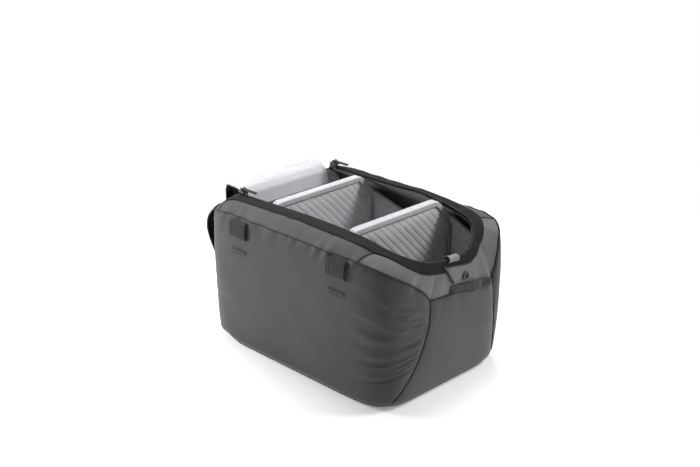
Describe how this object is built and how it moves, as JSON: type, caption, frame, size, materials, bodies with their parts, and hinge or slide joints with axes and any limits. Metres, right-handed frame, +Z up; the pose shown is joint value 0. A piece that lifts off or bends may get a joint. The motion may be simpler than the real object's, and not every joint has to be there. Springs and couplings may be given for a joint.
{
  "type": "padded camera cube",
  "caption": "Soft padded zip-open camera cube with a fold-away lid, movable quilted dividers and open bays for lenses and a camera body.",
  "frame": {"origin": "middle of the underside", "axes": "+X along the bag towards the end with the snap, +Y from the front with the webbing tabs to the rear, +Z up"},
  "size_m": [0.3172, 0.2238, 0.1956],
  "materials": {
    "shell_fabric": "matte laminated weave",
    "end_fabric": "matte plain weave",
    "base_fabric": "matte coated weave",
    "gusset_fabric": "matte plain weave",
    "piping": "matte braid",
    "stiffener": "plain sheet",
    "foam": "closed-cell foam",
    "dark_lining": "brushed loop pile",
    "light_lining": "smooth woven lining",
    "zip_tape": "matte woven tape",
    "zip_coil": "moulded coil",
    "slider_metal": "black satin",
    "garage_fabric": "smooth fabric",
    "ribbed_patch": "ribbed grosgrain",
    "snap_metal": "bright",
    "snap_socket": "black",
    "webbing": "flat webbing",
    "hook_tape": "hook tape",
    "quilted_panel": "quilted brushed fabric"
  },
  "bodies": {
    "bag_body": {"base_board": "stiffener", "base_foam": "foam", "base_panel": "base_fabric", "end_patch": "ribbed_patch", "end_strap": "webbing", "front_foam": "foam", "front_panel": "shell_fabric", "front_seam_piping": "piping", "front_top_gusset": "gusset_fabric", "interior_lining": "dark_lining", "left_end_panel": "end_fabric", "left_foam": "foam", "left_top_gusset": "gusset_fabric", "rear_foam": "foam", "rear_panel": "shell_fabric", "rear_seam_piping": "piping", "rear_top_gusset": "gusset_fabric", "right_end_panel": "end_fabric", "right_foam": "foam", "right_top_gusset": "gusset_fabric", "snap_ring": "snap_metal", "snap_socket": "snap_socket", "tab_slots": "piping", "zip_coil": "zip_coil", "zip_end_stops": "zip_coil", "zip_garage": "garage_fabric", "zip_tape": "zip_tape"},
    "divider_1": {"divider_1_core": "quilted_panel", "divider_1_front_flap": "quilted_panel", "divider_1_hook_strips": "hook_tape", "divider_1_rear_flap": "quilted_panel"},
    "divider_2": {"divider_2_core": "quilted_panel", "divider_2_front_flap": "quilted_panel", "divider_2_hook_strips": "hook_tape", "divider_2_rear_flap": "quilted_panel"},
    "lid_strip": {"lid_hinge_strip": "light_lining"},
    "lid_near": {"lid_near_foam": "foam", "lid_near_lining": "light_lining", "lid_near_shell": "shell_fabric", "lid_near_zip_tape": "zip_tape"},
    "lid_far": {"lid_far_foam": "foam", "lid_far_lining": "light_lining", "lid_far_shell": "shell_fabric", "lid_far_zip_tape": "zip_tape"},
    "lid_nose": {"lid_nose_foam": "foam", "lid_nose_lining": "light_lining", "lid_nose_shell": "shell_fabric", "lid_nose_zip_tape": "zip_tape"},
    "front_slider": {"front_slider": "slider_metal"},
    "rear_slider": {"rear_slider": "slider_metal"},
    "front_pull": {"front_pull": "slider_metal"},
    "rear_pull": {"rear_pull": "slider_metal"},
    "tab_left": {"front_tab_left": "webbing"},
    "tab_right": {"front_tab_right": "webbing"}
  },
  "joints": [
    {"name": "lid_hinge", "type": "hinge", "parent": "bag_body", "child": "lid_strip", "pos_m": [-0.13, 0, 0.1912], "axis": [0, 1, 0], "range_deg": [0, 180]},
    {"name": "lid_swing", "type": "hinge", "parent": "lid_strip", "child": "lid_near", "pos_m": [-0.1544, 0, 0.1891], "axis": [0, 1, 0], "range_deg": [0, 90]},
    {"name": "lid_fold", "type": "hinge", "parent": "lid_near", "child": "lid_far", "pos_m": [-0.1577, 0, 0.0558], "axis": [0, -1, 0], "range_deg": [0, 180]},
    {"name": "lid_nose_bend", "type": "hinge", "parent": "lid_far", "child": "lid_nose", "pos_m": [-0.1578, 0, 0.129], "axis": [0, 1, 0], "range_deg": [0, 33.1]},
    {"name": "divider_1_slide", "type": "slide", "parent": "bag_body", "child": "divider_1", "axis": [1, 0, 0], "range_m": [-0.02, 0.02]},
    {"name": "divider_2_slide", "type": "slide", "parent": "bag_body", "child": "divider_2", "axis": [1, 0, 0], "range_m": [-0.02, 0.008]},
    {"name": "front_slider_run", "type": "slide", "parent": "bag_body", "child": "front_slider", "axis": [1, 0, 0], "range_m": [0, 0.205]},
    {"name": "rear_slider_run", "type": "slide", "parent": "bag_body", "child": "rear_slider", "axis": [1, 0, 0], "range_m": [0, 0.205]},
    {"name": "front_pull_flip", "type": "hinge", "parent": "front_slider", "child": "front_pull", "pos_m": [-0.114, -0.0765, 0.1941], "axis": [0, -1, 0], "range_deg": [0, 170]},
    {"name": "rear_pull_flip", "type": "hinge", "parent": "rear_slider", "child": "rear_pull", "pos_m": [-0.114, 0.0765, 0.1941], "axis": [0, -1, 0], "range_deg": [0, 170]},
    {"name": "front_tab_left_lift", "type": "hinge", "parent": "bag_body", "child": "tab_left", "pos_m": [-0.084, -0.112, 0.17], "axis": [-1, 0, 0], "range_deg": [0, 110]},
    {"name": "front_tab_right_lift", "type": "hinge", "parent": "bag_body", "child": "tab_right", "pos_m": [0.08, -0.112, 0.17], "axis": [-1, 0, 0], "range_deg": [0, 110]}
  ],
  "couplings": [
    {"joint": "lid_swing", "follows": "lid_hinge", "ratio": 0.5},
    {"joint": "lid_fold", "follows": "lid_hinge", "ratio": 1},
    {"joint": "lid_nose_bend", "follows": "lid_hinge", "ratio": 0.18391}
  ]
}
